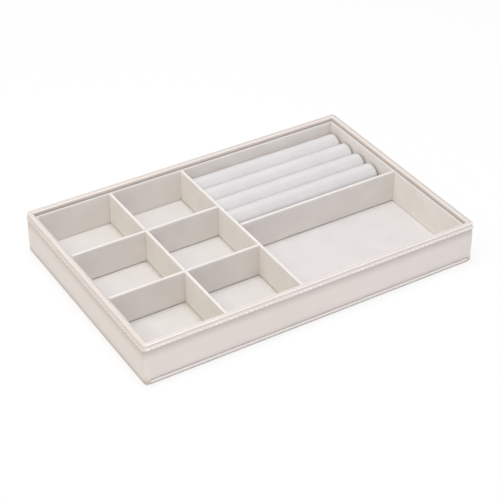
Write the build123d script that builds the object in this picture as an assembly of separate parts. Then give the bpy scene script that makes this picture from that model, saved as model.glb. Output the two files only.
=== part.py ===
"""Stackable jewelry tray: a leatherette-covered box with six small cells, a necklace bay and a ring bay.

Millimetres. X runs left to right, Y front to back, Z up. The origin is the middle of the underside.
"""
import os
from math import isclose

from build123d import *

# Outer size
tray_w = 365.0
tray_d = 246.0
tray_h = 45.5
corner_r = 4.0

# Leatherette, wall and base boards
leather_t = 0.7
wall_board_t = 4.4
base_board_t = 3.8
side_lift = 0.4          # the side walls end this far above the surface the tray stands on
seam_r = 1.2             # rounded leather edges at the groove above the base
foot_r = 1.6             # rounded leather edges at the bottom

# Rim binding: a strip folded over the top of the walls and sewn through. The outer wrap is thinned under it.
binding_proud = 0.3      # how far the binding stands out from the wall below it
binding_outside_h = 6.8
binding_inside_h = 14.0
binding_outer_r = 1.2
binding_inner_r = 1.5
crease_below = 1.6
crease_h = 0.8
crease_deep = 0.4

# Velvet, liners and floor
velvet_t = 0.5
liner_step = 4.2         # the liners and dividers end this far below the rim
liner_card_t = 1.6
liner_turn_in = 12.0     # velvet folded down behind a liner
liner_edge_r = 0.6
floor_card_t = 1.0
floor_gap = 0.3

# Dividers
divider_card_t = 2.2
divider_edge_r = 0.7
divider_end_gap = 0.4
slot_clearance = 0.2
cell_w = 78.8            # clear width of a small cell
ring_bay_d = 112.8       # clear depth of the ring bay
cell_rows = 3

# Ring rolls
roll_pitch = 23.0
roll_r = 13.1
roll_skin_t = 0.6
roll_gap = 0.2           # between neighbouring rolls, and to the liner and divider beside them
roll_sag = 0.2           # how far a roll is flattened where it lies on the floor
roll_end_chamfer = 1.0
roll_gather_t = 1.2      # thickness of the gathered velvet over a roll's ends
roll_left_gap = 0.8
roll_right_gap = 1.7
roll_eye_r = 2.0         # gathered opening in each end of the sleeve

# Drawing aids
overrun = 5.0            # how far a cutting solid runs past what it cuts
right_angle = 90
tolerance = 0.001        # for finding an edge by its place

# Places worked out from the sizes above
half_w = tray_w / 2
half_d = tray_d / 2
wrap_inset = binding_proud
board_inset = wrap_inset + leather_t
board_inner_inset = board_inset + wall_board_t
rim_t = board_inner_inset + leather_t
divider_t = divider_card_t + 2 * velvet_t
liner_t = liner_card_t + 2 * velvet_t
liner_face_inset = rim_t + liner_t
base_board_low = leather_t
base_board_top = base_board_low + base_board_t
base_top = base_board_top + leather_t
board_top = tray_h - leather_t
liner_top = tray_h - liner_step
floor_card_top = base_board_top + floor_card_t
floor_top = floor_card_top + velvet_t
inner_w = half_w - liner_face_inset
inner_d = half_d - liner_face_inset
column_pitch = cell_w + divider_t
left_long_x = -inner_w + cell_w + divider_t / 2
middle_long_x = left_long_x + column_pitch
row_pitch = (2 * inner_d + divider_t) / cell_rows
front_cross_y = -inner_d - divider_t / 2 + row_pitch
back_cross_y = front_cross_y + row_pitch
ring_divider_y = inner_d - ring_bay_d - divider_t / 2
lap_level = (floor_top + liner_top) / 2
full_rolls = round(ring_bay_d / roll_pitch) - 1
front_roll_pitch = ring_bay_d - full_rolls * roll_pitch
front_roll_r = roll_r * front_roll_pitch / roll_pitch

pieces = {}


def block(low, high):
    """Box between two opposite corners."""
    size = [b - a for a, b in zip(low, high)]
    middle = [(a + b) / 2 for a, b in zip(low, high)]
    return Pos(*middle) * Box(*size)


def slab(inset, low, high):
    """The tray's outline, drawn in by an inset, between two levels."""
    width = tray_w - 2 * inset
    depth = tray_d - 2 * inset
    round_r = corner_r - inset
    if round_r > 0:
        outline = RectangleRounded(width, depth, round_r)
    else:
        outline = Rectangle(width, depth)
    return Pos(0, 0, low) * extrude(outline, high - low)


def ring(outer_inset, inner_inset, low, high):
    """Band around the tray between two insets and two levels."""
    return slab(outer_inset, low, high) - slab(inner_inset, low - overrun, high + overrun)


def edges_at(body, **place):
    """Edges whose middle has the given X, Y or Z."""
    found = body.edges()
    for letter, value in place.items():
        found = [e for e in found if isclose(getattr(e.center(), letter), value, abs_tol=tolerance)]
    return found


def outline_edges(body, inset, level):
    """Edges at one level that lie on the tray's outline drawn in by an inset."""
    found = []
    for edge in body.edges():
        box = edge.bounding_box()
        flat = isclose(box.min.Z, level, abs_tol=tolerance) and isclose(box.max.Z, level, abs_tol=tolerance)
        middle = edge.center()
        beyond = max(abs(middle.X) - (half_w - inset), abs(middle.Y) - (half_d - inset))
        if flat and -(corner_r - inset) / 2 < beyond < tolerance:
            found.append(edge)
    return found


def mirrored_y(solid):
    """The same piece at the other long side."""
    return mirror(solid, Plane.XZ)


def mirrored_x(solid):
    """The same piece at the other short side."""
    return mirror(solid, Plane.YZ)


def base():
    """Board under the cells, and the leatherette that wraps it. Their long edges reach out to the rim binding."""
    end_x = half_w - board_inner_inset
    board_y = half_d - leather_t
    pieces["base_board"] = block((-end_x, -board_y, base_board_low), (end_x, board_y, base_board_top))

    lip_y = half_d
    return_y = half_d - board_inner_inset
    wrap = block((-end_x, -lip_y, 0), (end_x, lip_y, base_top))
    wrap -= block((-half_w, -board_y, base_board_low), (half_w, board_y, base_board_top))
    wrap -= block((-half_w, -return_y, base_board_low), (half_w, return_y, base_top + overrun))
    top_edges = [e for y in (-lip_y, lip_y) for e in edges_at(wrap, Y=y, Z=base_top)]
    wrap = fillet(top_edges, seam_r)
    foot_edges = [e for y in (-lip_y, lip_y) for e in edges_at(wrap, Y=y, Z=0)]
    pieces["base_wrap"] = fillet(foot_edges, foot_r)


def walls():
    """Four wall boards: the side boards run the full depth, the front and back stand on the base."""
    board_solid = slab(board_inset, side_lift + leather_t, board_top)
    inner_x = half_w - board_inner_inset
    inner_y = half_d - board_inner_inset
    side = board_solid & block((-half_w, -half_d, 0), (-inner_x, half_d, tray_h))
    pieces["left_board"] = side
    pieces["right_board"] = mirrored_x(side)
    outer_y = half_d - board_inset
    front = block((-inner_x, -outer_y, base_top + leather_t), (inner_x, -inner_y, board_top))
    pieces["front_board"] = front
    pieces["back_board"] = mirrored_y(front)


def outer_wrap():
    """One leatherette strip round all four walls, folded in under their lower edges."""
    inner_x = half_w - board_inner_inset
    inner_y = half_d - board_inner_inset
    board_y = half_d - board_inset
    lip_y = half_d - wrap_inset
    strip_top = base_top + 2 * seam_r
    wrap = ring(wrap_inset, board_inset, side_lift, board_top)
    wrap -= ring(-overrun, leather_t, tray_h - binding_outside_h, tray_h)
    wrap -= block((-inner_x, -half_d, 0), (inner_x, half_d, strip_top))
    side_fold = slab(board_inset, side_lift, side_lift + leather_t)
    side_fold &= block((-half_w, -half_d, 0), (-inner_x, half_d, tray_h))
    wrap += side_fold
    wrap += mirrored_x(side_fold)
    wrap = fillet(outline_edges(wrap, wrap_inset, side_lift), foot_r)
    front_strip = block((-inner_x, -lip_y, base_top), (inner_x, -board_y, strip_top))
    front_strip += block((-inner_x, -board_y, base_top), (inner_x, -inner_y, base_top + leather_t))
    front_strip = fillet(edges_at(front_strip, Y=-lip_y, Z=base_top), seam_r)
    pieces["outer_wrap"] = wrap + front_strip + mirrored_y(front_strip)


def rim_binding():
    """Leatherette strip folded over the wall tops, creased just below the rounded outer bead."""
    binding = ring(0, leather_t, tray_h - binding_outside_h, tray_h)
    binding += ring(0, rim_t, board_top, tray_h)
    binding += ring(board_inner_inset, rim_t, tray_h - binding_inside_h, tray_h)
    binding = fillet(outline_edges(binding, 0, tray_h), binding_outer_r)
    inner_x = half_w - rim_t
    inner_y = half_d - rim_t
    inner_edges = [e for x in (-inner_x, inner_x) for e in edges_at(binding, X=x, Z=tray_h)]
    inner_edges += [e for y in (-inner_y, inner_y) for e in edges_at(binding, Y=y, Z=tray_h)]
    binding = fillet(inner_edges, binding_inner_r)
    crease_top = tray_h - crease_below
    crease_low = crease_top - crease_h
    pieces["rim_binding"] = binding - ring(-overrun, crease_deep, crease_low, crease_top)


def liner(name, low, high, inward):
    """Card panel stood against a wall, with velvet on its face, over its top and down its back.

    low and high are the panel's corners, and inward is its facing direction along X or Y.
    """
    axis = 0 if inward[0] else 1
    sign = inward[axis]
    faces = [low[axis], high[axis]] if sign > 0 else [high[axis], low[axis]]
    card_low, card_high = list(low), list(high)
    card_low[axis] = low[axis] + velvet_t
    card_high[axis] = high[axis] - velvet_t
    card_high[2] = high[2] - velvet_t
    pieces[name + "_liner_card"] = block(card_low, card_high)

    velvet = block(low, high)
    hollow_low, hollow_high = list(card_low), list(card_high)
    hollow_low[2] = low[2] - overrun
    for side in (0, 1):
        if side != axis:
            hollow_low[side] -= overrun
            hollow_high[side] += overrun
    velvet -= block(hollow_low, hollow_high)
    back_low, back_high = list(hollow_low), list(hollow_high)
    back_low[axis] = min(faces[0], faces[0] + sign * velvet_t) - (overrun if sign > 0 else 0)
    back_high[axis] = max(faces[0], faces[0] + sign * velvet_t) + (overrun if sign < 0 else 0)
    back_high[2] = high[2] - liner_turn_in
    velvet -= block(back_low, back_high)
    letter = "XY"[axis]
    top_edges = [e for face in faces for e in edges_at(velvet, **{letter: face, "Z": high[2]})]
    pieces[name + "_liner_velvet"] = fillet(top_edges, liner_edge_r)


def liners():
    """Liners on the four walls: the front and back ones run the full width, the side ones fit between."""
    wall_x = half_w - rim_t
    wall_y = half_d - rim_t
    liner("front", (-wall_x, -wall_y, base_board_top), (wall_x, -inner_d, liner_top), (0, 1))
    liner("back", (-wall_x, inner_d, base_board_top), (wall_x, wall_y, liner_top), (0, -1))
    liner("left", (-wall_x, -inner_d, base_board_top), (-inner_w, inner_d, liner_top), (1, 0))
    liner("right", (inner_w, -inner_d, base_board_top), (wall_x, inner_d, liner_top), (-1, 0))


def floor_pad():
    """Velvet-covered card that lies on the base board between the liners."""
    pad_x = inner_w - floor_gap
    pad_y = inner_d - floor_gap
    card_x = pad_x - velvet_t
    card_y = pad_y - velvet_t
    card = block((-card_x, -card_y, base_board_top), (card_x, card_y, floor_card_top))
    pieces["floor_card"] = card
    pieces["floor_velvet"] = block((-pad_x, -pad_y, base_board_top), (pad_x, pad_y, floor_top)) - card


def divider(name, start, end, along_x, slots=(), slots_open_up=True):
    """Card upright with velvet on both faces and over its top, half-lapped where it crosses another.

    start and end are the middles of its two ends. slots are the places along it where others cross.
    """
    reach = (divider_t / 2, 0) if not along_x else (0, divider_t / 2)
    skin = (velvet_t, 0) if not along_x else (0, velvet_t)
    outer_low = (start[0] - reach[0], start[1] - reach[1], floor_top)
    outer_high = (end[0] + reach[0], end[1] + reach[1], liner_top)
    card_low = (outer_low[0] + skin[0], outer_low[1] + skin[1], floor_top)
    card_high = (outer_high[0] - skin[0], outer_high[1] - skin[1], liner_top - velvet_t)
    card = block(card_low, card_high)
    velvet = block(outer_low, outer_high)
    top_edges = velvet.edges().filter_by(Axis.X if along_x else Axis.Y).group_by(Axis.Z)[-1]
    velvet = fillet(top_edges, divider_edge_r) - card
    slot_half = (divider_t + slot_clearance) / 2
    for place in slots:
        if slots_open_up:
            levels = (lap_level - slot_clearance / 2, liner_top + overrun)
        else:
            levels = (floor_top - overrun, lap_level + slot_clearance / 2)
        if along_x:
            cut = block((place - slot_half, outer_low[1] - overrun, levels[0]),
                        (place + slot_half, outer_high[1] + overrun, levels[1]))
        else:
            cut = block((outer_low[0] - overrun, place - slot_half, levels[0]),
                        (outer_high[0] + overrun, place + slot_half, levels[1]))
        card -= cut
        velvet -= cut
    pieces[name + "_divider_card"] = card
    pieces[name + "_divider_velvet"] = velvet


def dividers():
    """Two long dividers front to back, two cross dividers through the first, and the ring bay's front."""
    end_y = inner_d - divider_end_gap
    crossings = (front_cross_y, back_cross_y)
    divider("left_long", (left_long_x, -end_y), (left_long_x, end_y), False, crossings)
    divider("middle_long", (middle_long_x, -end_y), (middle_long_x, end_y), False)
    cross_start = -inner_w + divider_end_gap
    cross_end = middle_long_x - divider_t / 2 - divider_end_gap
    for name, y in (("front_cross", front_cross_y), ("back_cross", back_cross_y)):
        divider(name, (cross_start, y), (cross_end, y), True, (left_long_x,), False)
    ring_start = middle_long_x + divider_t / 2 + divider_end_gap
    ring_end = inner_w - divider_end_gap
    divider("ring_bay", (ring_start, ring_divider_y), (ring_end, ring_divider_y), True)


def roll_bar(radius, half_width, start_x, end_x, end_chamfer=0):
    """Round bar along X, squeezed flat on both flanks and a little where it lies on the floor."""
    middle = Pos((start_x + end_x) / 2, 0, 0)
    bar = middle * Rot(0, right_angle, 0) * Cylinder(radius, end_x - start_x)
    if end_chamfer:
        bar = chamfer(bar.edges().filter_by(GeomType.CIRCLE), end_chamfer)
    return bar & block((start_x, -half_width, roll_sag - radius), (end_x, half_width, radius))


def ring_rolls():
    """Foam rolls in velvet sleeves, side by side on the floor of the ring bay."""
    start_x = middle_long_x + divider_t / 2 + roll_left_gap
    end_x = inner_w - roll_right_gap
    foam_ends = (start_x + roll_gather_t, end_x - roll_gather_t)
    eye_length = end_x - start_x + 2 * overrun
    eye = Pos((start_x + end_x) / 2, 0, 0) * Rot(0, right_angle, 0) * Cylinder(roll_eye_r, eye_length)
    back_y = inner_d
    for number, width in enumerate([roll_pitch] * full_rolls + [front_roll_pitch], start=1):
        radius = roll_r if number <= full_rolls else front_roll_r
        half_width = (width - roll_gap) / 2
        place = Pos(0, back_y - width / 2, floor_top + radius - roll_sag)
        foam = roll_bar(radius - roll_skin_t, half_width - roll_skin_t, *foam_ends)
        cover = roll_bar(radius, half_width, start_x, end_x, roll_end_chamfer)
        name = "ring_roll_" + str(number)
        pieces[name + "_foam"] = place * foam
        pieces[name + "_velvet"] = place * (cover - foam - eye)
        back_y -= width


base()
walls()
outer_wrap()
rim_binding()
liners()
floor_pad()
dividers()
ring_rolls()

os.makedirs("parts", exist_ok=True)
for node, solid in pieces.items():
    export_step(solid, "parts/" + node + ".step")
print(len(pieces), "pieces, floor at", floor_top, "dividers to", liner_top)
print("cell", cell_w, "by", row_pitch - divider_t, "ring divider y", ring_divider_y)
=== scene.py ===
"""Looks of a stackable jewelry tray: leatherette shell with a sewn rim, velvet lining and soft ring rolls.

Metres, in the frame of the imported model: X left to right, Y front to back, Z up, and the origin in the middle
of the underside.
"""
import math

import bmesh
import bpy
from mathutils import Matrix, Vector, noise


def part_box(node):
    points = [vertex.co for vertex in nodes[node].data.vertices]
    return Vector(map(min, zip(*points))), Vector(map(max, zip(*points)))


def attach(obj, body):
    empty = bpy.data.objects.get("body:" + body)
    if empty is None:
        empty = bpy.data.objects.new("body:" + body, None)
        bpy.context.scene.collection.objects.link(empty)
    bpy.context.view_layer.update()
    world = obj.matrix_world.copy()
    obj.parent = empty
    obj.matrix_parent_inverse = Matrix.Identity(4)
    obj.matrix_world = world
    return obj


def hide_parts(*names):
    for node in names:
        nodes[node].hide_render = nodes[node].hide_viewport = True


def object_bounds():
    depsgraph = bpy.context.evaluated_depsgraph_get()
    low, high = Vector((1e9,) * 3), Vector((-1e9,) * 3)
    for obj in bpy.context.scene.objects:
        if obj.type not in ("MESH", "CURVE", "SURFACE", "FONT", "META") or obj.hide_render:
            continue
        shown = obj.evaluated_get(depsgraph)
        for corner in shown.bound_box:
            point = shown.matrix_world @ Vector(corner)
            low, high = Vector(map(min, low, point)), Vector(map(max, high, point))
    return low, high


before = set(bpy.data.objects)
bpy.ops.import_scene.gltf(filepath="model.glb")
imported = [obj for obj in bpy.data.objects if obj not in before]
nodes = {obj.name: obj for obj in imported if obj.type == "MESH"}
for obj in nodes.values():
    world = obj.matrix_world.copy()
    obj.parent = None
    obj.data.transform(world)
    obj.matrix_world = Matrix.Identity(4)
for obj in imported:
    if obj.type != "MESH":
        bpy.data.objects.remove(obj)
cad_low, cad_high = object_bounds()
mm = 0.001

# Shell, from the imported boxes
half_w = cad_high.x
half_d = cad_high.y
rim_z = cad_high.z
board_inset = half_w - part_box("right_board")[1].x
board_inner_inset = half_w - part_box("right_board")[0].x
side_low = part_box("outer_wrap")[0].z
base_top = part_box("base_wrap")[1].z
base_half_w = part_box("base_wrap")[1].x
board_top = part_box("front_board")[1].z
liner_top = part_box("left_liner_velvet")[1].z
floor_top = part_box("floor_velvet")[1].z
corner_r = 4.0 * mm
tight_r = 0.5 * mm
leather_t = 0.7 * mm

# Rim binding, as drops below the rim on the long sides. On the short sides all of it sits lower.
hem_drop = 6.5 * mm
stitch_drop = 4.15 * mm
short_side_stretch = 0.35
bead_r = 0.8 * mm
inner_leg_inset = 5.56 * mm
inner_leg_drop = 14.0 * mm
stitch_pitch = 5.3 * mm
stitch_length = 3.7 * mm
stitch_thickness = 1.3 * mm
stations_per_stitch = 6
pucker_depth = 0.50 * mm
wave_depth = 0.12 * mm
hem_sway = 0.45 * mm
corner_tuck = 0.8 * mm

# Velvet
velvet_t = 0.5 * mm
pile_lift = 0.8 * mm
panel_wave = 0.14 * mm
panel_step = 5.0 * mm
panel_bend_steps = 5
end_reach = 0.3 * mm
liner_turn_in = 12 * mm
roll_count = 5

merge_distance = 1e-7
seed_strides = (7.3, 3.1, 5.7)


def drift(point, size, seed):
    """Smooth noise between about -1 and 1 whose bumps are about size across."""
    return noise.noise(Vector(point) / size + Vector([seed * stride for stride in seed_strides]))


# Meshes

def new_piece(name, mesh, material, replaced=(), crease_angle=40):
    """An object for a finished mesh, riding on the tray and standing for the CAD nodes that it replaces."""
    mesh.shade_smooth()
    mesh.set_sharp_from_angle(angle=math.radians(crease_angle))
    piece = bpy.data.objects.new(name, mesh)
    bpy.context.scene.collection.objects.link(piece)
    mesh.materials.clear()
    mesh.materials.append(material)
    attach(piece, "root")
    if replaced:
        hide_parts(*replaced)
    return piece


def tidy_mesh(mesh):
    """Merges doubled points and turns every face outwards."""
    work = bmesh.new()
    work.from_mesh(mesh)
    bmesh.ops.remove_doubles(work, verts=work.verts, dist=merge_distance)
    bmesh.ops.dissolve_degenerate(work, dist=merge_distance, edges=work.edges)
    bmesh.ops.recalc_face_normals(work, faces=work.faces)
    work.to_mesh(mesh)
    work.free()
    return mesh


def finished_mesh(holder, *helpers):
    """The plain mesh of an object with its modifiers applied. The object and its helpers are removed."""
    result = bpy.data.meshes.new_from_object(holder.evaluated_get(bpy.context.evaluated_depsgraph_get()))
    for thing in (holder, *helpers):
        bpy.data.objects.remove(thing)
    return result


def loft(name, rows, round_trip=False, painted_marks=None):
    """Mesh through rows of points, each row a closed section. Its ends meet, or are capped.

    The last argument gives each point's shares of painted shade and painted light, which the leatherette and
    the velvet read.
    """
    count = len(rows[0])
    points = [p for row in rows for p in row]
    last = len(rows) if round_trip else len(rows) - 1
    faces = []
    for i in range(last):
        a = i * count
        b = (i + 1) % len(rows) * count
        faces += [(a + j, a + (j + 1) % count, b + (j + 1) % count, b + j) for j in range(count)]
    if not round_trip:
        faces.append(tuple(range(count)))
        faces.append(tuple((len(rows) - 1) * count + j for j in reversed(range(count))))
    mesh = bpy.data.meshes.new(name)
    mesh.from_pydata([tuple(p) for p in points], [], faces)
    if painted_marks:
        for part, label in enumerate(("painted_shade", "painted_light")):
            marks = mesh.attributes.new(label, "FLOAT", "POINT")
            marks.data.foreach_set("value", [pair[part] for row in painted_marks for pair in row])
    return tidy_mesh(mesh)


def arc(centre, radius, start, end, steps):
    """Points on an arc in a section plane, angles in degrees."""
    angles = [math.radians(start + (end - start) * k / steps) for k in range(steps + 1)]
    return [(centre[0] + radius * math.cos(a), centre[1] + radius * math.sin(a)) for a in angles]


def quarter_turn(steps):
    """Angles from zero to a right angle, both included."""
    return [math.radians(90 * k / steps) for k in range(steps + 1)]


def flowing(points, steps):
    """A smooth line through points of a section plane."""
    line = []
    for k in range(len(points) - 1):
        before, a, b, after = (Vector(points[min(max(k + j, 0), len(points) - 1)]) for j in (-1, 0, 1, 2))
        for step in range(steps):
            t = step / steps
            line.append(tuple(0.5 * (2 * a + (b - before) * t + (2 * before - 5 * a + 4 * b - after) * t * t
                                     + (3 * a - before - 3 * b + after) * t ** 3)))
    return line + [tuple(points[-1])]


def run(start, end, step):
    """Evenly spaced values from start to end, both included."""
    count = max(1, round(abs(end - start) / step))
    return [start + (end - start) * k / count for k in range(count + 1)]


def eased(low, high, value):
    """0 below low, 1 above high, with a smooth rise between."""
    share = min(max((value - low) / (high - low), 0.0), 1.0)
    return share * share * (3 - 2 * share)


def bell(value, centre, width):
    """1 at the centre, with a smooth fall to nothing about two widths away."""
    return math.exp(-((value - centre) / width) ** 2)


# The way round the tray

straight_w = 2 * (half_w - corner_r)
straight_d = 2 * (half_d - corner_r)
corner_run = math.pi / 2 * corner_r
round_length = 2 * (straight_w + straight_d) + 4 * corner_run


def outline_point(along, inset):
    """Point of the tray's outline drawn in by an inset, and its outward direction.

    along runs anticlockwise from the front left corner's end, measured on the outer outline.
    """
    along %= round_length
    radius = max(corner_r - inset, tight_r)
    centre_x = half_w - inset - radius
    centre_y = half_d - inset - radius
    sides = ((straight_w, 0), (straight_d, 90), (straight_w, 180), (straight_d, 270))
    for side_length, turn in sides:
        if along <= side_length:
            share = 2 * along / side_length - 1
            angle = math.radians(turn - 90)
            break
        along -= side_length
        if along <= corner_run:
            share = 1
            angle = math.radians(turn - 90 + 90 * along / corner_run)
            break
        along -= corner_run
    # The arc's centre slides along a side with share, and stands still in a corner
    centre = ((centre_x * share, -centre_y), (centre_x, centre_y * share),
              (-centre_x * share, centre_y), (-centre_x, -centre_y * share))[turn // 90]
    out = (math.cos(angle), math.sin(angle))
    return (centre[0] + radius * out[0], centre[1] + radius * out[1]), out


def round_stations(step, corner_steps):
    """Places along the outline, the corners closer together."""
    places = []
    start = 0.0
    for side_length in (straight_w, straight_d, straight_w, straight_d):
        places += run(start, start + side_length, step)[:-1]
        start += side_length
        places += run(start, start + corner_run, corner_run / corner_steps)[:-1]
        start += corner_run
    return places


stitch_count = round(round_length / stitch_pitch)


def binding_section():
    """Section of the rim binding as (inset, drop): its shown side, from the hem over the top, and its back.

    The shown side is drawn in millimetres.
    """
    bead_inset, bead_height = 1.32, bead_r / mm
    top_w, shoulder_r = 6.1, 1.9
    hem = [(0.70, 6.50), (0.45, 6.54), (0.16, 6.36), (-0.10, 6.00)]
    band = [(-0.30, 5.45), (-0.38, 4.90), (-0.34, 4.35), (-0.18, 3.80), (0.08, 3.25), (0.46, 2.75)]
    crease = [(0.82, 2.30), (0.98, 1.85), (0.92, 1.45)]
    bead = [(inset, 2 * bead_height - up)
            for inset, up in arc((bead_inset, bead_height), bead_height, 200, 60, 5)]
    valley = [(2.1, 0.36), (2.55, 0.56), (3.1, 0.48), (3.6, 0.22), (4.1, 0.03)]
    shoulder = [(top_w - shoulder_r + shoulder_r * math.sin(a), shoulder_r - shoulder_r * math.cos(a))
                for a in quarter_turn(4)]
    leg = [(6.0, 2.6), (5.8, 3.3), (inner_leg_inset / mm, 4.4)]
    shown = flowing(hem + band + crease + bead + valley + shoulder + leg, 2)
    shown = [(inset * mm, drop * mm) for inset, drop in shown]
    board_drop = rim_z - board_top
    hidden = [(inner_leg_inset, 6.0 * mm), (inner_leg_inset, 9.0 * mm), (inner_leg_inset, inner_leg_drop)]
    hidden += [(board_inner_inset, inner_leg_drop), (board_inner_inset, board_drop)]
    hidden += [(leather_t, board_drop), (leather_t, 3.0 * mm)]
    return shown, hidden


def side_drop(out, drop):
    """A drop below the rim, larger on the short sides for what lies below the bead."""
    below_bead = min(max(drop / (2 * bead_r), 0.0), 1.0)
    return drop * (1 + short_side_stretch * abs(out[0]) * below_bead)


def binding_painted_shade_and_light(out, inset, drop, hole, patchy):
    """Painted shade and painted highlight on a point of the binding, each 0 to 1.

    Shade is painted into the crease, under the hem, at the needle holes, in the top's valley, on the inner leg,
    and over the short, right and back sides.
    A highlight is painted on the bead at the front and left edges, on the sewn band's crown and along the inner
    top edge. Places are in millimetres.
    """
    bead_top, crown, valley, shoulder = 1.2, 1.55, 3.1, 4.2
    crease_drop, puff_drop, hem_from, hem_to = 1.2, 3.3, 4.0, 6.0
    across, down = inset / mm, drop / mm
    right, left = max(out[0], 0.0), max(-out[0], 0.0)
    back, front = max(out[1], 0.0), max(-out[1], 0.0)
    short = right + left
    bead_highlight = patchy * (0.85 * front + 0.35 * left)
    # Inner top edge and leg: painted shade on the inner leg, the left inner edge and the back; painted
    # highlight along the inner top edge
    if across > shoulder:
        tucked = (0.35 + 0.2 * right) * bell(down, 1.7 - 0.5 * right, 1.0)
        shaded = 0.95 * left * eased(4.0, 5.6, across)
        inner_edge_highlight = 0.5 * bell(across, 5.3, 0.7) * (1 - eased(0.2, 0.7, down)) * (1 - left)
        return max(tucked, shaded, 0.15 * back), inner_edge_highlight
    # Top of the rim: painted shade in the valley and over the right and back bead; painted highlight on the
    # bead's crown
    if across > bead_top:
        valley_shade = 0.2 * bell(across, valley, 0.8) + 0.65 * bell(across, 1.7, 1.1) * (right + 0.4 * back)
        valley_shade += 0.15 * back + 0.08 * left + 0.12 * front * bell(across, 4.0, 0.8)
        return valley_shade, bead_highlight * bell(across, crown, 0.65)
    # Outer side: painted shade in the crease, under the hem, at needle holes and on short and right sides;
    # painted highlight on bead and band
    crease = 0.9 * bell(down, crease_drop, 0.85) * (1 - 0.6 * short)
    hem = (0.65 + 0.2 * short) * eased(hem_from - 0.3 * short, hem_to - 0.3 * short, down)
    pinched = 0.95 * hole * bell(down, stitch_drop / mm, 1.1)
    shaded = max(0.35 * short, 0.85 * right * (1 - eased(0.3, 1.5, down)))
    puffed = 0.45 * bell(down, puff_drop, 0.8) * (front + 0.6 * left)
    painted_light = 0.4 * bead_highlight * (1 - eased(0.2, 0.8, down))
    return max(crease, hem, pinched, shaded), max(painted_light, puffed)


def rim_binding():
    """Leather strip folded over the walls: bead, crease, sewn band with puckers, and a dished top."""
    pucker_reach, puff_place, puff_reach = 0.75 * mm, 1.3 * mm, 0.8 * mm
    wavy_top = 1.2 * mm
    shown, hidden = binding_section()
    count = stitch_count * stations_per_stitch
    rows, painted_marks = [], []
    for k in range(count):
        along = round_length * k / count
        # 1 at a needle hole, 0 halfway between two
        hole = 0.5 + 0.5 * math.cos(2 * math.pi * k / stations_per_stitch)
        edge_x, edge_y = outline_point(along, 0)[0]
        # The bead's painted highlight varies in patches along the rim.
        patchy = 1 + 0.6 * drift((edge_x, edge_y, 0), 15 * mm, 9)
        row, marks = [], []
        for inset, drop in shown:
            (x, y), out = outline_point(along, inset)
            outside = inset < leather_t and drop > 0
            beside = drop - stitch_drop
            push = wave_depth * (0.6 * drift((x, y, drop), 9 * mm, 1) + drift((x, y, drop), 34 * mm, 2))
            if outside:
                push -= pucker_depth * hole * bell(beside, 0, pucker_reach)
                push += 0.3 * pucker_depth * (0.5 - hole) * bell(abs(beside), puff_place, puff_reach)
                push -= corner_tuck * min(abs(out[0]), abs(out[1]))
            z = rim_z - (side_drop(out, drop) if outside else drop)
            if outside and drop > stitch_drop:
                z -= hem_sway * (drop - stitch_drop) / (hem_drop - stitch_drop) * drift((x, y, 0), 21 * mm, 8)
            if drop < wavy_top and inset > 0:
                z += wave_depth * (0.8 * drift((x, y, 0), 13 * mm, 3) - 0.4)
            row.append((x + out[0] * push, y + out[1] * push, z))
            marks.append(binding_painted_shade_and_light(out, inset, drop, hole, patchy))
        row += [(*outline_point(along, inset)[0], rim_z - drop) for inset, drop in hidden]
        rows.append(row)
        painted_marks.append(marks + [(0.0, 0.0)] * len(hidden))
    mesh = loft("rim_binding_leather", rows, round_trip=True, painted_marks=painted_marks)
    return new_piece("rim_binding_leather", mesh, leatherette(), ["rim_binding"],
                     crease_angle=60)


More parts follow.
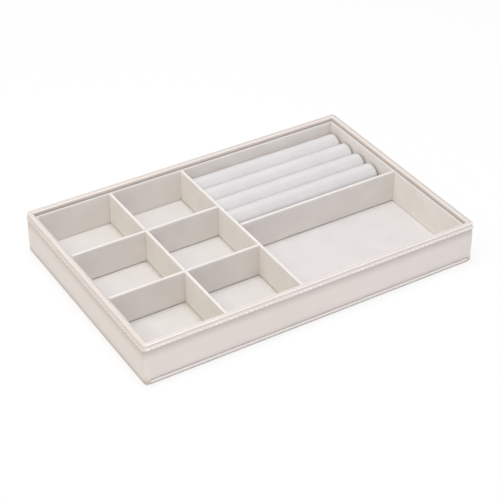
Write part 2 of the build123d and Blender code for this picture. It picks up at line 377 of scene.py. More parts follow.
def outer_wrap():
    """Leather round the four walls: down to the foot at the sides, to the groove above the base elsewhere.

    The sewn rim draws it in, so the face dips under the hem and comes out again below. A shadow is painted
    into the dip, and shade towards its foot or seam by a strength that fades between two heights.
    """
    foot_r = 2.6 * mm
    seam_r = 2.4 * mm
    seam_gap = 0.25 * mm
    face_inset = -0.18 * mm
    face_shares = (0.08, 0.2, 0.36, 0.52, 0.68, 0.84)
    dip_depth = 1.12 * mm
    dip_top, dip_low = 6.2 * mm, 15.5 * mm
    dip_shares = (0.0, 0.12, 0.25, 0.4, 0.55, 0.7, 0.85, 1.0)
    darkest = 7.5 * mm
    # Strength and heights of the painted shade towards the seam and towards the foot.
    seam_marks, foot_marks = (0.34, 7 * mm, 11 * mm), (0.9, 3 * mm, 9.5 * mm)
    rows, painted_marks = [], []
    for along in sorted(round_stations(4 * mm, 8) + notch_places()):
        (x, y), out = outline_point(along, 0)
        over_base = abs(out[1]) > 0.99 and abs(x) < base_half_w
        low = base_top + seam_gap if over_base else side_low
        edge_r = seam_r if over_base else foot_r
        edge = [(face_inset + edge_r - edge_r * math.sin(a), low + edge_r - edge_r * math.cos(a))
                for a in quarter_turn(6)]
        corner = min(abs(out[0]), abs(out[1]))
        pulled = []
        for share in dip_shares:
            drop = dip_low + (dip_top - dip_low) * share
            inset = face_inset + dip_depth * share ** 2 * (1 - 0.5 * corner)
            pulled.append((inset, rim_z - side_drop(out, drop)))
        pulled.append((pulled[-1][0], pulled[-1][1] + mm))
        face_low, face_top = low + edge_r, pulled[0][1]
        face = [(face_inset, face_low + (face_top - face_low) * share) for share in face_shares]
        outside = edge + face + pulled
        inside = [(board_inset, outside[-1][1]), (board_inset, low + leather_t),
                  (board_inner_inset, low + leather_t), (board_inner_inset, low)]
        row, marks = [], []
        strength, dark_to, clear_from = seam_marks if over_base else foot_marks
        for inset, z in outside:
            (px, py), direction = outline_point(along, inset)
            push = wave_depth * (0.5 * drift((px, py, z), 22 * mm, 4) + 0.8 * drift((px, py, z), 60 * mm, 5))
            row.append((px + direction[0] * push, py + direction[1] * push, z))
            drop = (rim_z - z) / (side_drop(out, mm) / mm)
            # Painted shadow in the dip under the hem, and painted shade towards the foot or seam.
            share = min(max((dip_low - drop) / (dip_low - darkest), 0.0), 1.0)
            foot = strength * (1 - eased(dark_to, clear_from, z))
            marks.append((min(0.67 * share ** 1.3 + foot, 1.0), 0.0))
        row += [(*outline_point(along, inset)[0], z) for inset, z in inside]
        rows.append(row)
        painted_marks.append(marks + [(0.0, 0.0)] * len(inside))
    mesh = loft("outer_wrap_leather", rows, round_trip=True, painted_marks=painted_marks)
    return new_piece("outer_wrap_leather", mesh, leatherette(), ["outer_wrap"])


def notch_places():
    """Pairs of places either side of the four ends of the groove above the base."""
    gap = 0.02 * mm
    first = half_w - corner_r - base_half_w
    last = straight_w - first
    behind = straight_w + corner_run + straight_d + corner_run
    return [start + place + shift
            for start in (0, behind) for place in (first, last) for shift in (-gap, gap)]


def base_wrap():
    """Leather under the tray, turned up round the base board's long edges to a rounded lip below the groove.

    The lip has painted shade at its foot and a painted highlight at its top.
    """
    lip_r = 1.3 * mm
    foot_r = 3.0 * mm
    lip_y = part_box("base_wrap")[1].y
    lip_top = base_top - 0.1 * mm
    under = base_top - leather_t
    outer = [(-lip_y + foot_r - foot_r * math.sin(a), foot_r - foot_r * math.cos(a)) for a in quarter_turn(6)]
    outer += [(-lip_y + lip_r - lip_r * math.cos(a), lip_top - lip_r + lip_r * math.sin(a))
              for a in quarter_turn(6)]
    back_y = half_d - board_inner_inset
    edge_y = lip_y - leather_t
    inner = [(-back_y, base_top), (-back_y, under), (-edge_y, under), (-edge_y, leather_t)]
    half = outer + inner
    other = [(-y, z) for y, z in reversed(half)]
    bottom = [(y, 0.0) for y in run(lip_y - foot_r, -lip_y + foot_r, 12 * mm)[1:-1]]
    section = half + other + bottom
    # Painted shade low on the lip, and a painted highlight at its top.
    marks = [(1.0 - eased(1.6 * mm, 3.9 * mm, z), 0.85 * eased(3.4 * mm, 4.2 * mm, z)) for _, z in section]
    rows = []
    for x in run(-base_half_w, base_half_w, 5 * mm):
        row = []
        for y, z in section:
            push = 0.0
            if abs(y) > lip_y - lip_r and 1 * mm < z < base_top:
                push = wave_depth * (0.8 * drift((x, y, z), 18 * mm, 6) + 0.6 * drift((x, y, z), 50 * mm, 7))
            row.append((x, y + math.copysign(push, y), z))
        rows.append(row)
    mesh = loft("base_wrap_leather", rows, painted_marks=[marks] * len(rows))
    return new_piece("base_wrap_leather", mesh, leatherette(), ["base_wrap"])


# Stitching

def add_node(tree, kind, **settings):
    node = tree.nodes.new(kind)
    for key, value in settings.items():
        setattr(node, key, value)
    return node


def stitch_tree():
    """Geometry Nodes: one slanted, tapered stitch at each place along a closed path, as real thread lies."""
    tree = bpy.data.node_groups.new("thread_stitches", "GeometryNodeTree")
    face = tree.interface
    face.new_socket("Geometry", in_out="INPUT", socket_type="NodeSocketGeometry")
    for name, value in (("Length", stitch_length), ("Thickness", stitch_thickness), ("Slant", 0.06)):
        face.new_socket(name, in_out="INPUT", socket_type="NodeSocketFloat").default_value = value
    face.new_socket("Count", in_out="INPUT", socket_type="NodeSocketInt").default_value = stitch_count
    face.new_socket("Seed", in_out="INPUT", socket_type="NodeSocketInt").default_value = 4
    face.new_socket("Material", in_out="INPUT", socket_type="NodeSocketMaterial")
    face.new_socket("Geometry", in_out="OUTPUT", socket_type="NodeSocketGeometry")
    link = tree.links.new
    given = add_node(tree, "NodeGroupInput")
    curve = add_node(tree, "GeometryNodeMeshToCurve")
    places = add_node(tree, "GeometryNodeCurveToPoints", mode="COUNT")
    link(given.outputs["Geometry"], curve.inputs["Mesh"])
    link(curve.outputs["Curve"], places.inputs["Curve"])
    link(given.outputs["Count"], places.inputs["Count"])
    across = add_node(tree, "ShaderNodeVectorMath", operation="CROSS_PRODUCT")
    across.inputs[1].default_value = (0, 0, 1)
    link(places.outputs["Tangent"], across.inputs[0])
    axes = add_node(tree, "FunctionNodeAxesToRotation", primary_axis="Z", secondary_axis="X")
    link(places.outputs["Tangent"], axes.inputs["Primary Axis"])
    link(across.outputs["Vector"], axes.inputs["Secondary Axis"])
    sway = add_node(tree, "FunctionNodeRandomValue", data_type="FLOAT")
    sway.inputs["Min"].default_value = 0.7
    sway.inputs["Max"].default_value = 1.3
    link(given.outputs["Seed"], sway.inputs["Seed"])
    slant = add_node(tree, "ShaderNodeMath", operation="MULTIPLY")
    link(given.outputs["Slant"], slant.inputs[0])
    link(sway.outputs["Value"], slant.inputs[1])
    turn = add_node(tree, "FunctionNodeAxisAngleToRotation")
    turn.inputs["Axis"].default_value = (1, 0, 0)
    link(slant.outputs["Value"], turn.inputs["Angle"])
    tilted = add_node(tree, "FunctionNodeRotateRotation", rotation_space="LOCAL")
    link(axes.outputs["Rotation"], tilted.inputs["Rotation"])
    link(turn.outputs["Rotation"], tilted.inputs["Rotate By"])
    bead = add_node(tree, "GeometryNodeMeshUVSphere")
    bead.inputs["Segments"].default_value = 10
    bead.inputs["Rings"].default_value = 9
    bead.inputs["Radius"].default_value = 0.5
    size = add_node(tree, "ShaderNodeCombineXYZ")
    link(given.outputs["Thickness"], size.inputs["X"])
    link(given.outputs["Thickness"], size.inputs["Y"])
    link(given.outputs["Length"], size.inputs["Z"])
    copies = add_node(tree, "GeometryNodeInstanceOnPoints")
    link(places.outputs["Points"], copies.inputs["Points"])
    link(bead.outputs["Mesh"], copies.inputs["Instance"])
    link(tilted.outputs["Rotation"], copies.inputs["Rotation"])
    link(size.outputs["Vector"], copies.inputs["Scale"])
    solid = add_node(tree, "GeometryNodeRealizeInstances")
    painted = add_node(tree, "GeometryNodeSetMaterial")
    given_back = add_node(tree, "NodeGroupOutput")
    link(copies.outputs["Instances"], solid.inputs["Geometry"])
    link(solid.outputs["Geometry"], painted.inputs["Geometry"])
    link(given.outputs["Material"], painted.inputs["Material"])
    link(painted.outputs["Geometry"], given_back.inputs["Geometry"])
    return tree


def rim_stitching():
    """Thread of the rim's topstitching, half sunk in its groove, with shade painted on the short sides."""
    thread_inset = -0.26 * mm
    side_shade = 0.75
    points_per_stitch = 8
    path = bpy.data.meshes.new("stitch_path")
    count = stitch_count * points_per_stitch
    points = []
    for k in range(count):
        (x, y), out = outline_point(round_length * k / count, thread_inset)
        tuck = corner_tuck * min(abs(out[0]), abs(out[1]))
        points.append((x - tuck * out[0], y - tuck * out[1], rim_z - side_drop(out, stitch_drop)))
    path.from_pydata(points, [(k, (k + 1) % count) for k in range(count)], [])
    holder = bpy.data.objects.new("stitch_path", path)
    bpy.context.scene.collection.objects.link(holder)
    modifier = holder.modifiers.new("stitches", "NODES")
    modifier.node_group = stitch_tree()
    sockets = {item.name: item.identifier for item in modifier.node_group.interface.items_tree
               if item.in_out == "INPUT"}
    modifier[sockets["Material"]] = thread()
    mesh = finished_mesh(holder)
    mesh.name = "rim_stitching"
    # Painted shade on the thread of the short sides.
    marks = mesh.attributes.new("painted_shade", "FLOAT", "POINT")
    for vertex in mesh.vertices:
        marks.data[vertex.index].value = side_shade if abs(vertex.co.x) > half_w - 2 * mm else 0.0
    return new_piece("rim_stitching", mesh, thread())


# Velvet panels

def sleeve_section(half_t, low, high, top_r, card_half_t, card_top):
    """Closed section of velvet over an upright card, open below, as (across, height)."""
    left = [(-half_t, z) for z in run(low, high - top_r, panel_step)]
    bend = arc((-half_t + top_r, high - top_r), top_r, 180, 90, panel_bend_steps)[1:]
    over = bend + [(-x, z) for x, z in reversed(bend)]
    right = [(-x, z) for x, z in reversed(left)]
    inner = [(card_half_t, low), (card_half_t, card_top), (-card_half_t, card_top), (-card_half_t, low)]
    return left + over + right + inner


def sweep(name, section, start, end, middle, along_x, cuts=()):
    """Mesh of a section run straight along X or Y about a middle line, less boxes."""
    rows = []
    for place in run(start, end, panel_step):
        if along_x:
            rows.append([(place, middle + across, z) for across, z in section])
        else:
            rows.append([(middle + across, place, z) for across, z in section])
    mesh = loft(name, rows)
    return cut_away(mesh, cuts) if cuts else mesh


def cut_away(mesh, cuts):
    """The mesh less some boxes, each a pair of corners."""
    holder = bpy.data.objects.new("cut_holder", mesh)
    bpy.context.scene.collection.objects.link(holder)
    cutters = []
    for low, high in cuts:
        knife = bpy.data.meshes.new("knife")
        corners = [(x, y, z) for x in (low[0], high[0]) for y in (low[1], high[1]) for z in (low[2], high[2])]
        faces = [(0, 1, 3, 2), (4, 6, 7, 5), (0, 4, 5, 1), (2, 3, 7, 6), (0, 2, 6, 4), (1, 5, 7, 3)]
        knife.from_pydata(corners, [], faces)
        tidy_mesh(knife)
        cutter = bpy.data.objects.new("cutter", knife)
        bpy.context.scene.collection.objects.link(cutter)
        cutters.append(cutter)
        modifier = holder.modifiers.new("cut", "BOOLEAN")
        modifier.operation = "DIFFERENCE"
        modifier.solver = "EXACT"
        modifier.object = cutter
    return finished_mesh(holder, *cutters)


def ripple(mesh, axis, seed, top_shade):
    """Gives a velvet face the slight waves of cloth stretched over card, and paints shade along its top."""
    shade_low, shade_high = liner_top - 1.1 * mm, liner_top - 0.3 * mm
    wavy_from = liner_top - 1.6 * mm
    marks = mesh.attributes.new("painted_shade", "FLOAT", "POINT")
    for vertex in mesh.vertices:
        p = vertex.co
        # Shade painted along the top edge.
        marks.data[vertex.index].value = top_shade * eased(shade_low, shade_high, p.z)
        p[axis] += panel_wave * (0.55 * drift(p, 30 * mm, seed) + 0.35 * drift(p, 11 * mm, seed + 1))
        if p.z > wavy_from:
            p.z += panel_wave * (0.8 * drift((p.x, p.y, 0), 16 * mm, seed + 2) - 0.3)
    mesh.update()


def divider(name, crossings=(), open_up=True, seed=1):
    """Velvet sleeve over a divider card, half-lapped where another divider crosses it."""
    top_r = 1.0 * mm
    slot_clearance = 0.1 * mm
    overrun = 5 * mm
    # Strength of the painted shade on the divider's top.
    top_shade = 0.1
    low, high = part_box(name + "_divider_velvet")
    card_low, card_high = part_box(name + "_divider_card")
    along_x = high.x - low.x > high.y - low.y
    axis = 1 if along_x else 0
    half_t = (high[axis] - low[axis]) / 2
    card_half_t = (card_high[axis] - card_low[axis]) / 2
    middle = (low[axis] + high[axis]) / 2
    section = sleeve_section(half_t, low.z + pile_lift, high.z, top_r, card_half_t, card_high.z)
    ends = (low[1 - axis] - end_reach, high[1 - axis] + end_reach)
    lap = (floor_top + liner_top) / 2
    slot_half = half_t + slot_clearance
    bottom, top = (lap, high.z + overrun) if open_up else (low.z - overrun, lap)
    cuts = []
    for place in crossings:
        across = (low[axis] - overrun, high[axis] + overrun)
        slot = (place - slot_half, place + slot_half)
        xs, ys = (slot, across) if along_x else (across, slot)
        cuts.append(((xs[0], ys[0], bottom), (xs[1], ys[1], top)))
    cover = name + "_divider_cover"
    mesh = sweep(cover, section, *ends, middle, along_x, cuts)
    ripple(mesh, axis, seed, top_shade)
    return new_piece(cover, mesh, lining_velvet(), [name + "_divider_velvet"])


def dividers():
    crossing_x = sum(c.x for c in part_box("left_long_divider_velvet")) / 2
    crossing_y = [sum(c.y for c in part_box(n + "_cross_divider_velvet")) / 2 for n in ("front", "back")]
    divider("left_long", crossing_y, open_up=True, seed=11)
    divider("middle_long", seed=14)
    divider("front_cross", (crossing_x,), open_up=False, seed=17)
    divider("back_cross", (crossing_x,), open_up=False, seed=20)
    divider("ring_bay", seed=23)


def liner(name, axis, sign, seed):
    """Velvet over a wall's liner card: its face, a rounded top, and a short turn down behind.

    axis is the one that the wall faces along, and sign the way to the tray's middle on it.
    """
    top_r = 0.95 * mm
    # Strength of the painted shade along the liner's top, where it meets the rim.
    top_shade = 0.5
    low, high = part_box(name + "_liner_velvet")
    card_low, card_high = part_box(name + "_liner_card")
    middle = (low[axis] + high[axis]) / 2
    half_t = (high[axis] - low[axis]) / 2
    card_half_t = (card_high[axis] - card_low[axis]) / 2
    turn_low = high.z - liner_turn_in
    face = [(half_t, z) for z in run(low.z, high.z - top_r, panel_step)]
    front_bend = arc((half_t - top_r, high.z - top_r), top_r, 0, 90, panel_bend_steps)[1:]
    back_bend = arc((-half_t + top_r, high.z - top_r), top_r, 90, 180, panel_bend_steps)[:-1]
    back = [(-half_t, z) for z in run(high.z - top_r, turn_low, panel_step)]
    inner = [(-card_half_t, turn_low), (-card_half_t, card_high.z), (card_half_t, card_high.z),
             (card_half_t, low.z)]
    section = [(sign * a, z) for a, z in face + front_bend + back_bend + back + inner]
    cover = name + "_liner_cover"
    mesh = sweep(cover, section, low[1 - axis], high[1 - axis], middle, axis == 1)
    ripple(mesh, axis, seed, top_shade)
    return new_piece(cover, mesh, lining_velvet(), [name + "_liner_velvet"])


def liners():
    liner("front", axis=1, sign=1, seed=31)
    liner("back", axis=1, sign=-1, seed=34)
    liner("left", axis=0, sign=1, seed=37)
    liner("right", axis=0, sign=-1, seed=40)


def floor_pad():
    """Velvet over the floor card: a soft, faintly uneven sheet turned down at its edges."""
    edge_r = 0.8 * mm
    step = 4 * mm
    thickness_share = 0.9
    low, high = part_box("floor_velvet")

    def bent(half):
        """Distances from the middle with the drop at each, round over an edge and down."""
        flat = [(v, 0.0) for v in run(-half + edge_r, half - edge_r, step)]
        bend = [(half - edge_r + edge_r * math.sin(a), edge_r - edge_r * math.cos(a))
                for a in quarter_turn(4)[1:]]
        bend.append((half, high.z - low.z))
        return [(-v, drop) for v, drop in reversed(bend)] + flat + bend

    columns = bent(high.x)
    lines = bent(high.y)
    points = []
    for y, drop_y in lines:
        for x, drop_x in columns:
            wave = 0.8 * drift((x, y, 0), 26 * mm, 50) + 0.3 * drift((x, y, 0), 9 * mm, 51) - 0.5
            lift = panel_wave * wave if not drop_x and not drop_y else 0
            points.append((x, y, high.z - max(drop_x, drop_y) + lift))
    width = len(columns)
    faces = [(r * width + c, r * width + c + 1, (r + 1) * width + c + 1, (r + 1) * width + c)
             for r in range(len(lines) - 1) for c in range(width - 1)]
    mesh = bpy.data.meshes.new("floor_sheet")
    mesh.from_pydata(points, [], faces)
    holder = bpy.data.objects.new("floor_sheet", mesh)
    bpy.context.scene.collection.objects.link(holder)
    thick = holder.modifiers.new("thickness", "SOLIDIFY")
    thick.thickness = velvet_t * thickness_share
    thick.offset = -1
    return new_piece("floor_cover", finished_mesh(holder), floor_velvet(), ["floor_velvet"])


# Ring rolls

def roll(number):
    """Foam roll in a velvet sleeve, pressed flat by its neighbours and gathered at its ends."""
    around = 72
    end_gap = 1.1 * mm
    end_r = 0.7 * mm
    sag = 0.2 * mm
    swell = 14.0
    pleats, finer_pleats = 17, 23
    gather_shares = (0.16, 0.3, 0.5, 0.7, 0.85)
    gather_depth, gather_sway, gather_pleat = 0.9 * mm, 0.25 * mm, 0.20 * mm
    bend_pleat, body_pleat, pleat_reach = 0.22 * mm, 0.14 * mm, 6 * mm
    big_wave, small_wave, pile = 0.16 * mm, 0.07 * mm, 0.12 * mm
    # In degrees up from the underside
    shade_band_middle, shade_band_spread = 152, 15
    valley_from, valley_to = 138, 122
    name = "ring_roll_" + str(number)
    low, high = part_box(name + "_velvet")
    left, right = low.x + end_gap, high.x - end_gap
    half_width = (high.y - low.y) / 2
    middle_y = (high.y + low.y) / 2
    radius = (high.z - low.z + sag) / 2
    middle_z = high.z - radius

    def ring(x, scale, pleat, dish=0.0):
        """One round of the sleeve, and its marks: painted shade in a band beside the crown, and painted light
        in the valleys below.
        """
        row, marks = [], []
        for k in range(around):
            a = 2 * math.pi * k / around
            y, z = radius * scale * math.sin(a), radius * scale * math.cos(a)
            limit = half_width * max(scale, 0.2)
            y /= (1 + abs(y / limit) ** swell) ** (1 / swell)
            fold = pleat * (0.6 * math.cos(pleats * a) + 0.4 * math.cos(finer_pleats * a + number))
            wave = big_wave * drift((x, y, z), 24 * mm, 60 + number)
            wave += small_wave * drift((x, y, z), 8 * mm, 70 + number)
            grow = 1 + (wave + fold - pile) / radius
            point_z = max(middle_z + z * grow, low.z + 0.02 * mm)
            row.append((x + dish, middle_y + y * grow, point_z))
            # Painted shade beside the crown, and painted light in the valleys.
            up = math.degrees(abs(math.pi - a))
            darker = 0.26 * bell(up, shade_band_middle, shade_band_spread)
            marks.append((darker, 0.1 * (1 - eased(valley_to, valley_from, up))))
        return row, marks

    ends = [(share, gather_pleat * share, gather_depth * (1 - share) + gather_sway * math.cos(share * 9))
            for share in gather_shares]
    bend = []
    for a in quarter_turn(5)[1:]:
        scale = 1 - end_r * (1 - math.sin(a)) / radius
        bend.append((end_r * (1 - math.cos(a)), scale, bend_pleat * math.cos(a / 1.2)))
    rings = [ring(left, share, pleat, dish) for share, pleat, dish in ends]
    rings += [ring(left + along, scale, pleat) for along, scale, pleat in bend]
    for x in run(left + end_r, right - end_r, 2.5 * mm):
        near = min(x - left, right - x)
        rings.append(ring(x, 1.0, body_pleat * math.exp(-near / pleat_reach)))
    rings += [ring(right - along, scale, pleat) for along, scale, pleat in reversed(bend)]
    rings += [ring(right, share, pleat, -dish) for share, pleat, dish in reversed(ends)]
    rows, painted_marks = zip(*rings)
    mesh = loft(name + "_cushion", rows, painted_marks=painted_marks)
    replaced = [name + "_velvet", name + "_foam"]
    piece = new_piece(name + "_cushion", mesh, roll_velvet(), replaced, crease_angle=70)
    return piece


# Materials

def group(name, inputs, outputs):
    """A shader node group with its sockets, ready to fill."""
    tree = bpy.data.node_groups.new(name, "ShaderNodeTree")
    for socket, kind, value in inputs:
        made = tree.interface.new_socket(socket, in_out="INPUT", socket_type=kind)
        made.default_value = value
    for socket, kind in outputs:
        tree.interface.new_socket(socket, in_out="OUTPUT", socket_type=kind)
    return tree, tree.nodes.new("NodeGroupInput"), tree.nodes.new("NodeGroupOutput")


def per_metre(tree, size_socket, factor=1.0):
    """How many features of a given size go into a metre, as a texture's scale, times a factor."""
    divide = add_node(tree, "ShaderNodeMath", operation="DIVIDE")
    divide.inputs[0].default_value = factor
    tree.links.new(size_socket, divide.inputs[1])
    return divide.outputs["Value"]


def noise_at(tree, size_socket, detail, factor=1.0):
    """Noise on object coordinates whose features are about the given size across."""
    place = add_node(tree, "ShaderNodeTexCoord")
    texture = add_node(tree, "ShaderNodeTexNoise")
    texture.inputs["Detail"].default_value = detail
    tree.links.new(place.outputs["Object"], texture.inputs["Vector"])
    tree.links.new(per_metre(tree, size_socket, factor), texture.inputs["Scale"])
    return texture.outputs["Fac"]


# Where a Mix node keeps its colours
mix_colours = (6, 7)
mix_result = 2


def between(tree, factor, first, second):
    """Colour between two others, by a factor that is a socket."""
    mix = add_node(tree, "ShaderNodeMix", data_type="RGBA")
    tree.links.new(factor, mix.inputs["Factor"])
    for place, source in zip(mix_colours, (first, second)):
        if isinstance(source, bpy.types.NodeSocket):
            tree.links.new(source, mix.inputs[place])
        else:
            mix.inputs[place].default_value = source
    return mix.outputs[mix_result]


def tone_drift_group():
    """Colour that wanders softly between two tones, with a finer speckle."""
    tree, given, result = group(
        "tone_drift",
        [("Tone A", "NodeSocketColor", (1, 1, 1, 1)), ("Tone B", "NodeSocketColor", (1, 1, 1, 1)),
         ("Patch Size", "NodeSocketFloat", 0.03), ("Speckle Size", "NodeSocketFloat", 0.001)],
        [("Color", "NodeSocketColor")])
    both = add_node(tree, "ShaderNodeMix", data_type="FLOAT")
    both.inputs["Factor"].default_value = 0.3
    tree.links.new(noise_at(tree, given.outputs["Patch Size"], 2), both.inputs[2])
    tree.links.new(noise_at(tree, given.outputs["Speckle Size"], 1), both.inputs[3])
    spread = add_node(tree, "ShaderNodeMapRange")
    spread.inputs["From Min"].default_value = 0.32
    spread.inputs["From Max"].default_value = 0.68
    tree.links.new(both.outputs[0], spread.inputs["Value"])
    colour = between(tree, spread.outputs["Result"], given.outputs["Tone A"], given.outputs["Tone B"])
    tree.links.new(colour, result.inputs["Color"])
    return tree


def hide_grain_group():
    """Leatherette's pressed grain: small rounded cells over a softer unevenness, as height and roughness."""
    tree, given, result = group(
        "hide_grain",
        [("Cell Size", "NodeSocketFloat", 0.0009), ("Unevenness", "NodeSocketFloat", 0.5),
         ("Rough Low", "NodeSocketFloat", 0.4), ("Rough High", "NodeSocketFloat", 0.6)],
        [("Height", "NodeSocketFloat"), ("Roughness", "NodeSocketFloat")])
    place = add_node(tree, "ShaderNodeTexCoord")
    cells = add_node(tree, "ShaderNodeTexVoronoi", feature="SMOOTH_F1")
    cells.inputs["Smoothness"].default_value = 0.6
    tree.links.new(place.outputs["Object"], cells.inputs["Vector"])
    tree.links.new(per_metre(tree, given.outputs["Cell Size"]), cells.inputs["Scale"])
    soft = noise_at(tree, given.outputs["Cell Size"], 3, 0.28)
    weighted = add_node(tree, "ShaderNodeMath", operation="MULTIPLY")
    tree.links.new(soft, weighted.inputs[0])
    tree.links.new(given.outputs["Unevenness"], weighted.inputs[1])
    height = add_node(tree, "ShaderNodeMath", operation="SUBTRACT")
    tree.links.new(weighted.outputs["Value"], height.inputs[0])
    tree.links.new(cells.outputs["Distance"], height.inputs[1])
    rough = add_node(tree, "ShaderNodeMapRange")
    tree.links.new(soft, rough.inputs["Value"])
    tree.links.new(given.outputs["Rough Low"], rough.inputs["To Min"])
    tree.links.new(given.outputs["Rough High"], rough.inputs["To Max"])
    tree.links.new(height.outputs["Value"], result.inputs["Height"])
    tree.links.new(rough.outputs["Result"], result.inputs["Roughness"])
    return tree


def pile_group():
    """Short pile of velvet: fine tufts, and brushed patches where the nap lies another way. Height only."""
    tree, given, result = group(
        "velvet_pile",
        [("Tuft Size", "NodeSocketFloat", 0.0005), ("Nap Size", "NodeSocketFloat", 0.008),
         ("Nap", "NodeSocketFloat", 0.6)],
        [("Height", "NodeSocketFloat")])
    weighted = add_node(tree, "ShaderNodeMath", operation="MULTIPLY")
    tree.links.new(noise_at(tree, given.outputs["Nap Size"], 3), weighted.inputs[0])
    tree.links.new(given.outputs["Nap"], weighted.inputs[1])
    height = add_node(tree, "ShaderNodeMath", operation="ADD")
    tree.links.new(weighted.outputs["Value"], height.inputs[0])
    tree.links.new(noise_at(tree, given.outputs["Tuft Size"], 2), height.inputs[1])
    tree.links.new(height.outputs["Value"], result.inputs["Height"])
    return tree


def painted_shade_and_light_group():
    """Colour taken to a darker tone by painted shade, and to a paler one by painted light."""
    tree, given, result = group(
        "painted_shade_and_light",
        [("Color", "NodeSocketColor", (1, 1, 1, 1)), ("Dark Tone", "NodeSocketColor", (1, 1, 1, 1)),
         ("Pale Tone", "NodeSocketColor", (1, 1, 1, 1)), ("Painted_shade", "NodeSocketFloat", 0.0),
         ("Painted_light", "NodeSocketFloat", 0.0)],
        [("Color", "NodeSocketColor")])
    darker = between(tree, given.outputs["Painted_shade"], given.outputs["Color"], given.outputs["Dark Tone"])
    paler = between(tree, given.outputs["Painted_light"], darker, given.outputs["Pale Tone"])
    tree.links.new(paler, result.inputs["Color"])
    return tree


groups = {}
materials = {}


def shared(builder):
    """A node group built once and used by several materials."""
    if builder.__name__ not in groups:
        groups[builder.__name__] = builder()
    return groups[builder.__name__]


def place_group(tree, builder, **values):
    """A shared node group in a material, with its own values. Underscores stand for the sockets' spaces."""
    node = tree.nodes.new("ShaderNodeGroup")
    node.node_tree = shared(builder)
    for socket, value in values.items():
        node.inputs[socket.replace("_", " ")].default_value = value
    return node


def new_material(name):
    material = bpy.data.materials.new(name)
    material.use_nodes = True
    return material, material.node_tree, material.node_tree.nodes["Principled BSDF"]


def bumped(tree, shader, height, strength, distance):
    """Bump from a height on the shader's normal."""
    bump = add_node(tree, "ShaderNodeBump")
    bump.inputs["Strength"].default_value = strength
    bump.inputs["Distance"].default_value = distance
    tree.links.new(height, bump.inputs["Height"])
    tree.links.new(bump.outputs["Normal"], shader.inputs["Normal"])


def with_painted_shade_and_light(tree, colour, dark, pale):
    """The colour with painted shade and painted light over it, from the piece's two attributes for them."""
    painted_marks = place_group(tree, painted_shade_and_light_group, Dark_Tone=dark, Pale_Tone=pale)
    tree.links.new(colour, painted_marks.inputs["Color"])
    for label in ("painted_shade", "painted_light"):
        mark = add_node(tree, "ShaderNodeAttribute", attribute_name=label)
        tree.links.new(mark.outputs["Fac"], painted_marks.inputs[label.capitalize()])
    return painted_marks.outputs["Color"]


def tone(red, green, blue):
    """Linear colour from the 0 to 255 values that a screen shows."""
    values = [v / 255 for v in (red, green, blue)]
    return (*[v / 12.92 if v <= 0.04045 else ((v + 0.055) / 1.055) ** 2.4 for v in values], 1.0)


def once(name, build):
    """Builds a material the first time that it is asked for."""
    if name not in materials:
        materials[name] = build(name)
    return materials[name]


def leatherette():
    def build(name):
        material, tree, shader = new_material(name)
        colour = place_group(tree, tone_drift_group, Tone_A=tone(221, 213, 206), Tone_B=tone(226, 218, 212),
                             Patch_Size=0.05, Speckle_Size=0.0012)
        grain = place_group(tree, hide_grain_group, Cell_Size=0.0008, Unevenness=0.5, Rough_Low=0.27,
                            Rough_High=0.40)
        # Tones of the painted shade and of the painted highlight.
        shown = with_painted_shade_and_light(tree, colour.outputs["Color"], tone(186, 178, 170), tone(244, 240, 238))
        tree.links.new(shown, shader.inputs["Base Color"])
        tree.links.new(grain.outputs["Roughness"], shader.inputs["Roughness"])
        bumped(tree, shader, grain.outputs["Height"], strength=0.25, distance=0.00008)
        shader.inputs["Specular IOR Level"].default_value = 0.6
        return material
    return once("leatherette", build)


def velvet(name, tone_a, tone_b, sheen):
    def build(label):
        material, tree, shader = new_material(label)
        colour = place_group(tree, tone_drift_group, Tone_A=tone_a, Tone_B=tone_b, Patch_Size=0.022,
                             Speckle_Size=0.0007)
        pile = place_group(tree, pile_group, Tuft_Size=0.00055, Nap_Size=0.007, Nap=0.5)
        # Tones of the painted shade and of the painted light.
        shown = with_painted_shade_and_light(tree, colour.outputs["Color"], tone(197, 194, 191), tone(249, 247, 245))
        tree.links.new(shown, shader.inputs["Base Color"])
        bumped(tree, shader, pile.outputs["Height"], strength=0.5, distance=0.0002)
        shader.inputs["Roughness"].default_value = 0.95
        shader.inputs["Specular IOR Level"].default_value = 0.15
        shader.inputs["Sheen Weight"].default_value = sheen
        shader.inputs["Sheen Roughness"].default_value = 0.4
        return material
    return once(name, build)


def lining_velvet():
    return velvet("lining_velvet", tone(228, 224, 219), tone(236, 232, 227), sheen=0.6)


def floor_velvet():
    return velvet("floor_velvet", tone(215, 212, 210), tone(220, 218, 216), sheen=0.2)


def roll_velvet():
    return velvet("roll_velvet", tone(212, 211, 211), tone(220, 219, 219), sheen=0.9)


def thread():
    def build(name):
        material, tree, shader = new_material(name)
        colour = place_group(tree, tone_drift_group, Tone_A=tone(228, 220, 216), Tone_B=tone(250, 246, 244),
                             Patch_Size=0.012, Speckle_Size=0.0004)
        grain = place_group(tree, hide_grain_group, Cell_Size=0.00025, Unevenness=0.4, Rough_Low=0.4,
                            Rough_High=0.55)
        # Tone of the painted shade on the thread, and a paler tone for painted light.
        shown = with_painted_shade_and_light(tree, colour.outputs["Color"], tone(222, 213, 205), tone(250, 248, 246))
        tree.links.new(shown, shader.inputs["Base Color"])
        tree.links.new(grain.outputs["Roughness"], shader.inputs["Roughness"])
        bumped(tree, shader, grain.outputs["Height"], strength=0.4, distance=0.00005)
        shader.inputs["Sheen Weight"].default_value = 0.2
        return material
    return once("thread", build)


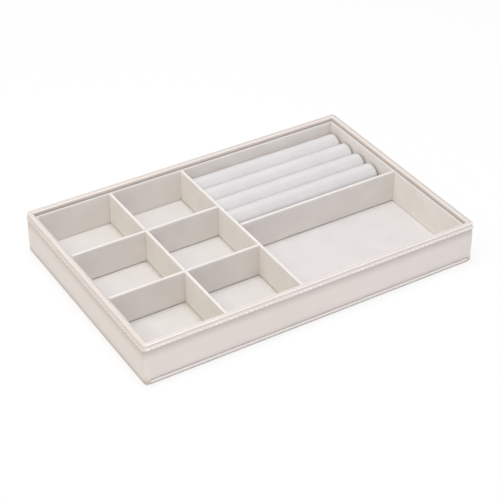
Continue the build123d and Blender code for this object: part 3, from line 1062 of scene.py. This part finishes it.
def raw_board(name, tone_a, tone_b, patch, speckle, nap_size, nap, strength, distance, roughness):
    """Raw board or card: two tones of fibre under a faint nap."""
    def build(label):
        material, tree, shader = new_material(label)
        colour = place_group(tree, tone_drift_group, Tone_A=tone_a, Tone_B=tone_b, Patch_Size=patch,
                             Speckle_Size=speckle)
        fibres = place_group(tree, pile_group, Tuft_Size=0.0004, Nap_Size=nap_size, Nap=nap)
        tree.links.new(colour.outputs["Color"], shader.inputs["Base Color"])
        bumped(tree, shader, fibres.outputs["Height"], strength, distance)
        shader.inputs["Roughness"].default_value = roughness
        return material
    return once(name, build)


def fibreboard():
    return raw_board("fibreboard", tone(150, 122, 92), tone(182, 152, 118), patch=0.004, speckle=0.0006,
                     nap_size=0.003, nap=0.4, strength=0.4, distance=0.0002, roughness=0.85)


def pressed_card():
    return raw_board("pressed_card", tone(96, 86, 76), tone(118, 108, 97), patch=0.006, speckle=0.0005,
                     nap_size=0.004, nap=0.3, strength=0.3, distance=0.0001, roughness=0.9)


def dress_cad_nodes():
    """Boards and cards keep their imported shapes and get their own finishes."""
    for name, node in nodes.items():
        if name.endswith("_board"):
            finish = fibreboard()
        elif name.endswith("_card"):
            finish = pressed_card()
        else:
            continue
        node.data.materials.clear()
        node.data.materials.append(finish)


# Stage

def backdrop_material():
    """White ground that keeps the tray's soft shadow and still shows as white."""
    lighting_tone, seen_tone, glow_share = 0.78, 0.92, 0.84
    material = bpy.data.materials.new("white_ground")
    material.use_nodes = True
    tree = material.node_tree
    tree.nodes.clear()
    diffuse = add_node(tree, "ShaderNodeBsdfDiffuse")
    paint = between(tree, seen_ray(tree), (*[lighting_tone] * 3, 1), (*[seen_tone] * 3, 1))
    tree.links.new(paint, diffuse.inputs["Color"])
    glow = add_node(tree, "ShaderNodeEmission")
    glow.inputs["Color"].default_value = (1, 1, 1, 1)
    glow.inputs["Strength"].default_value = 1.0
    share = add_node(tree, "ShaderNodeMath", operation="MULTIPLY")
    share.inputs[1].default_value = glow_share
    tree.links.new(seen_ray(tree), share.inputs[0])
    mix = add_node(tree, "ShaderNodeMixShader")
    tree.links.new(share.outputs["Value"], mix.inputs["Fac"])
    tree.links.new(diffuse.outputs["BSDF"], mix.inputs[1])
    tree.links.new(glow.outputs["Emission"], mix.inputs[2])
    output = add_node(tree, "ShaderNodeOutputMaterial")
    tree.links.new(mix.outputs["Shader"], output.inputs["Surface"])
    return material


def seen_ray(tree):
    """1 for camera, glossy and transmission rays, otherwise 0."""
    path = add_node(tree, "ShaderNodeLightPath")
    first = add_node(tree, "ShaderNodeMath", operation="MAXIMUM")
    second = add_node(tree, "ShaderNodeMath", operation="MAXIMUM")
    tree.links.new(path.outputs["Is Camera Ray"], first.inputs[0])
    tree.links.new(path.outputs["Is Glossy Ray"], first.inputs[1])
    tree.links.new(first.outputs["Value"], second.inputs[0])
    tree.links.new(path.outputs["Is Transmission Ray"], second.inputs[1])
    return second.outputs["Value"]


def ground():
    reach = 4.0
    below = 0.2 * mm
    mesh = bpy.data.meshes.new("ground")
    corners = [(-reach, -reach, 0), (reach, -reach, 0), (reach, reach, 0), (-reach, reach, 0)]
    mesh.from_pydata(corners, [], [(0, 1, 2, 3)])
    piece = bpy.data.objects.new("ground", mesh)
    piece.location.z = -below
    bpy.context.scene.collection.objects.link(piece)
    mesh.materials.append(backdrop_material())


def sky():
    """Even white light; what the camera sees of it is plain white."""
    world = bpy.data.worlds.new("studio")
    bpy.context.scene.world = world
    world.use_nodes = True
    tree = world.node_tree
    tree.nodes.clear()
    light = add_node(tree, "ShaderNodeBackground")
    light.inputs["Color"].default_value = (0.974, 0.94, 1.0, 1)
    light.inputs["Strength"].default_value = 0.656
    seen = add_node(tree, "ShaderNodeBackground")
    seen.inputs["Color"].default_value = (1, 1, 1, 1)
    seen.inputs["Strength"].default_value = 1.0
    mix = add_node(tree, "ShaderNodeMixShader")
    output = add_node(tree, "ShaderNodeOutputWorld")
    tree.links.new(seen_ray(tree), mix.inputs["Fac"])
    tree.links.new(light.outputs["Background"], mix.inputs[1])
    tree.links.new(seen.outputs["Background"], mix.inputs[2])
    tree.links.new(mix.outputs["Shader"], output.inputs["Surface"])


def lamp(name, position, aim, size, power, colour):
    """A rectangular lamp turned to its aim. size is its width and height."""
    data = bpy.data.lights.new(name, "AREA")
    data.shape = "RECTANGLE"
    data.size, data.size_y = size
    data.energy = power
    data.color = colour
    piece = bpy.data.objects.new(name, data)
    piece.location = position
    piece.rotation_euler = (Vector(aim) - Vector(position)).to_track_quat("-Z", "Y").to_euler()
    bpy.context.scene.collection.objects.link(piece)


def studio_light():
    sky()
    lamp("warm_left", (-0.7, -0.1, 1.2), (0, 0, 0), (0.9, 0.9), power=5.96, colour=(1.0, 0.908, 0.614))
    lamp("cool_overhead", (0, 0, 1.5), (0, 0, 0), (0.4, 0.4), power=8.43, colour=(0.822, 0.88, 1.0))
    lamp("low_front", (-0.2, -1.7, 0.06), (0, 0, 0.03), (1.2, 0.08), power=4.75, colour=(0.924, 1.0, 0.985))


def camera():
    """The photograph's viewing angle, from the tray's own straight edges."""
    data = bpy.data.cameras.new("camera")
    data.lens = 107.95
    data.sensor_width = 36
    data.clip_start = 0.05
    data.clip_end = 20
    piece = bpy.data.objects.new("camera", data)
    piece.location = Vector((-629.7, -1031.7, 873.8)) * mm
    aim = Vector((5.5, 7.0, 0.0)) * mm
    piece.rotation_euler = (aim - piece.location).to_track_quat("-Z", "Y").to_euler()
    bpy.context.scene.collection.objects.link(piece)
    bpy.context.scene.camera = piece


rim_binding()
outer_wrap()
base_wrap()
rim_stitching()
liners()
dividers()
floor_pad()
for roll_number in range(1, roll_count + 1):
    roll(roll_number)
dress_cad_nodes()
ground()
studio_light()
camera()
bpy.context.scene.view_settings.view_transform = "Standard"
